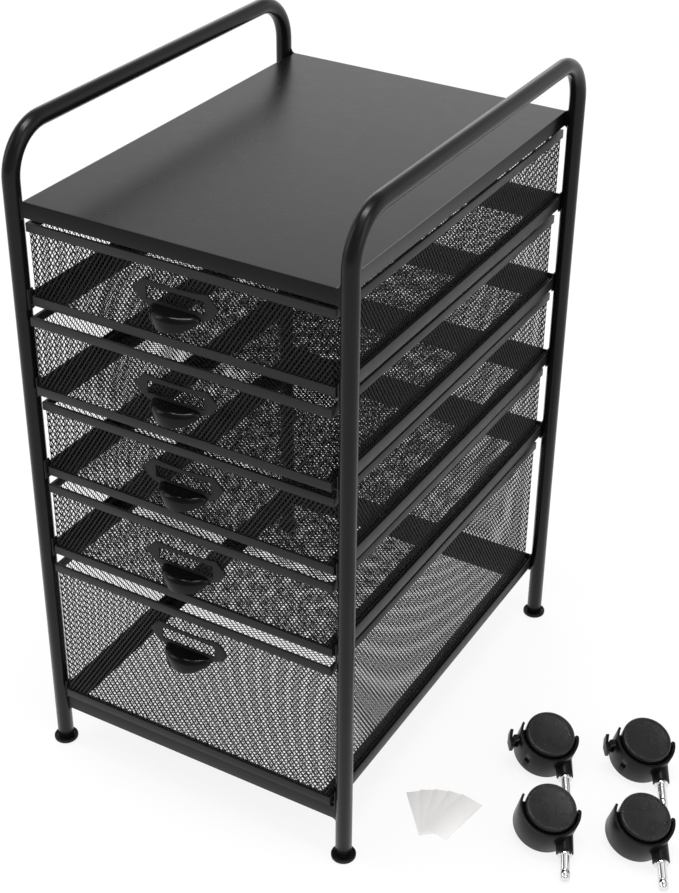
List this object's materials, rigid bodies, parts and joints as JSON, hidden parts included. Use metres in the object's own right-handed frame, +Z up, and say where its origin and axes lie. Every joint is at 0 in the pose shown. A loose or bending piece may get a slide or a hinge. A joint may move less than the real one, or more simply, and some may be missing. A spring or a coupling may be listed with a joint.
{
  "type": "rolling drawer cart",
  "caption": "Black bent-tube cart with a folded top panel, stacked mesh drawers with label pulls, plug-in feet, and loose twin-wheel casters with blank label cards beside it.",
  "frame": {"origin": "on the floor, midway between the four legs", "axes": "+Z up, +X to the right seen from the front, drawers open towards -Y"},
  "size_m": [0.6354, 0.4777, 0.6786],
  "materials": {
    "tube_paint": "satin black powder coat",
    "panel_paint": "satin black powder coat",
    "strip_paint": "matte black powder coat",
    "mesh_paint": "matte black coated diamond mesh",
    "pull_gloss": "gloss black",
    "foot_plastic": "moulded black",
    "hood_plastic": "satin moulded black",
    "wheel_plastic": "fine textured black",
    "stem_chrome": "bright plated",
    "axle_steel": "bright drawn",
    "card_stock": "uncoated blank card"
  },
  "bodies": {
    "cart_frame": {"side_frame_left": "tube_paint", "side_frame_right": "tube_paint", "feet": "foot_plastic", "top_panel": "panel_paint", "side_rail_1_left": "strip_paint", "side_rail_1_right": "strip_paint", "side_rail_2_left": "strip_paint", "side_rail_2_right": "strip_paint", "side_rail_3_left": "strip_paint", "side_rail_3_right": "strip_paint", "side_rail_4_left": "strip_paint", "side_rail_4_right": "strip_paint", "side_rail_5_left": "strip_paint", "side_rail_5_right": "strip_paint", "back_rails": "strip_paint", "bottom_front_bar": "strip_paint"},
    "drawer_1": {"drawer_1_tray": "mesh_paint", "drawer_1_rim": "strip_paint", "drawer_1_base_strip": "strip_paint", "drawer_1_pull": "pull_gloss"},
    "drawer_2": {"drawer_2_tray": "mesh_paint", "drawer_2_rim": "strip_paint", "drawer_2_base_strip": "strip_paint", "drawer_2_pull": "pull_gloss"},
    "drawer_3": {"drawer_3_tray": "mesh_paint", "drawer_3_rim": "strip_paint", "drawer_3_base_strip": "strip_paint", "drawer_3_pull": "pull_gloss"},
    "drawer_4": {"drawer_4_tray": "mesh_paint", "drawer_4_rim": "strip_paint", "drawer_4_base_strip": "strip_paint", "drawer_4_pull": "pull_gloss"},
    "drawer_5": {"drawer_5_tray": "mesh_paint", "drawer_5_rim": "strip_paint", "drawer_5_base_strip": "strip_paint", "drawer_5_pull": "pull_gloss"},
    "caster_1": {"caster_1_hood": "hood_plastic", "caster_1_axle": "axle_steel"},
    "caster_1_stem": {"caster_1_stem": "stem_chrome"},
    "caster_1_wheel_a": {"caster_1_wheel_a": "wheel_plastic"},
    "caster_1_wheel_b": {"caster_1_wheel_b": "wheel_plastic"},
    "caster_1_brake": {"caster_1_brake_lever": "hood_plastic"},
    "caster_2": {"caster_2_hood": "hood_plastic", "caster_2_axle": "axle_steel"},
    "caster_2_stem": {"caster_2_stem": "stem_chrome"},
    "caster_2_wheel_a": {"caster_2_wheel_a": "wheel_plastic"},
    "caster_2_wheel_b": {"caster_2_wheel_b": "wheel_plastic"},
    "caster_2_brake": {"caster_2_brake_lever": "hood_plastic"},
    "caster_3": {"caster_3_hood": "hood_plastic", "caster_3_axle": "axle_steel"},
    "caster_3_stem": {"caster_3_stem": "stem_chrome"},
    "caster_3_wheel_a": {"caster_3_wheel_a": "wheel_plastic"},
    "caster_3_wheel_b": {"caster_3_wheel_b": "wheel_plastic"},
    "caster_4": {"caster_4_hood": "hood_plastic", "caster_4_axle": "axle_steel"},
    "caster_4_stem": {"caster_4_stem": "stem_chrome"},
    "caster_4_wheel_a": {"caster_4_wheel_a": "wheel_plastic"},
    "caster_4_wheel_b": {"caster_4_wheel_b": "wheel_plastic"},
    "label_cards": {"label_cards": "card_stock"}
  },
  "joints": [
    {"name": "drawer_1_slide", "type": "slide", "parent": "cart_frame", "child": "drawer_1", "axis": [0, -1, 0], "range_m": [-0.0005, 0.3]},
    {"name": "drawer_2_slide", "type": "slide", "parent": "cart_frame", "child": "drawer_2", "axis": [0, -1, 0], "range_m": [-0.006, 0.3]},
    {"name": "drawer_3_slide", "type": "slide", "parent": "cart_frame", "child": "drawer_3", "axis": [0, -1, 0], "range_m": [-0.001, 0.3]},
    {"name": "drawer_4_slide", "type": "slide", "parent": "cart_frame", "child": "drawer_4", "axis": [0, -1, 0], "range_m": [-0.003, 0.3]},
    {"name": "drawer_5_slide", "type": "slide", "parent": "cart_frame", "child": "drawer_5", "axis": [0, -1, 0], "range_m": [-0.005, 0.3]},
    {"name": "caster_1_lift", "type": "slide", "parent": "cart_frame", "child": "caster_1", "axis": [0, 0, 1], "range_m": [0, 0.06]},
    {"name": "caster_1_swivel", "type": "hinge", "parent": "caster_1", "child": "caster_1_stem", "pos_m": [0.31294, -0.02513, 0.01275], "axis": [0.4622, -0.8303, -0.3114], "continuous": true},
    {"name": "caster_1_wheel_a_spin", "type": "hinge", "parent": "caster_1", "child": "caster_1_wheel_a", "pos_m": [0.28491, -0.00576, 0.03832], "axis": [0.2863, -0.1927, 0.9386], "continuous": true},
    {"name": "caster_1_wheel_b_spin", "type": "hinge", "parent": "caster_1", "child": "caster_1_wheel_b", "pos_m": [0.27789, -0.00104, 0.01533], "axis": [0.2863, -0.1927, 0.9386], "continuous": true},
    {"name": "caster_1_brake_press", "type": "hinge", "parent": "caster_1", "child": "caster_1_brake", "pos_m": [0.25359, -0.02204, 0.03148], "axis": [-0.2863, 0.1927, -0.9386], "range_deg": [0, 20]},
    {"name": "caster_2_lift", "type": "slide", "parent": "cart_frame", "child": "caster_2", "axis": [0, 0, 1], "range_m": [0, 0.06]},
    {"name": "caster_2_swivel", "type": "hinge", "parent": "caster_2", "child": "caster_2_stem", "pos_m": [0.40071, 0.01627, 0.01275], "axis": [0.4461, -0.8391, -0.3114], "continuous": true},
    {"name": "caster_2_wheel_a_spin", "type": "hinge", "parent": "caster_2", "child": "caster_2_wheel_a", "pos_m": [0.37306, 0.03617, 0.03832], "axis": [0.2825, -0.1981, 0.9386], "continuous": true},
    {"name": "caster_2_wheel_b_spin", "type": "hinge", "parent": "caster_2", "child": "caster_2_wheel_b", "pos_m": [0.36614, 0.04103, 0.01533], "axis": [0.2825, -0.1981, 0.9386], "continuous": true},
    {"name": "caster_2_brake_press", "type": "hinge", "parent": "caster_2", "child": "caster_2_brake", "pos_m": [0.34144, 0.02049, 0.03148], "axis": [-0.2825, 0.1981, -0.9386], "range_deg": [0, 20]},
    {"name": "caster_3_lift", "type": "slide", "parent": "cart_frame", "child": "caster_3", "axis": [0, 0, 1], "range_m": [0, 0.06]},
    {"name": "caster_3_swivel", "type": "hinge", "parent": "caster_3", "child": "caster_3_stem", "pos_m": [0.35522, -0.1215, 0.01275], "axis": [0.4166, -0.8541, -0.3114], "continuous": true},
    {"name": "caster_3_wheel_a_spin", "type": "hinge", "parent": "caster_3", "child": "caster_3_wheel_a", "pos_m": [0.32827, -0.10065, 0.03832], "axis": [0.2754, -0.2078, 0.9386], "continuous": true},
    {"name": "caster_3_wheel_b_spin", "type": "hinge", "parent": "caster_3", "child": "caster_3_wheel_b", "pos_m": [0.32153, -0.09555, 0.01533], "axis": [0.2754, -0.2078, 0.9386], "continuous": true},
    {"name": "caster_4_lift", "type": "slide", "parent": "cart_frame", "child": "caster_4", "axis": [0, 0, 1], "range_m": [0, 0.06]},
    {"name": "caster_4_swivel", "type": "hinge", "parent": "caster_4", "child": "caster_4_stem", "pos_m": [0.43977, -0.08557, 0.01275], "axis": [0.4636, -0.8295, -0.3114], "continuous": true},
    {"name": "caster_4_wheel_a_spin", "type": "hinge", "parent": "caster_4", "child": "caster_4_wheel_a", "pos_m": [0.41171, -0.06625, 0.03832], "axis": [0.2866, -0.1922, 0.9386], "continuous": true},
    {"name": "caster_4_wheel_b_spin", "type": "hinge", "parent": "caster_4", "child": "caster_4_wheel_b", "pos_m": [0.40469, -0.06155, 0.01533], "axis": [0.2866, -0.1922, 0.9386], "continuous": true},
    {"name": "label_cards_lift", "type": "slide", "parent": "cart_frame", "child": "label_cards", "axis": [0, 0, 1], "range_m": [0, 0.03]}
  ]
}
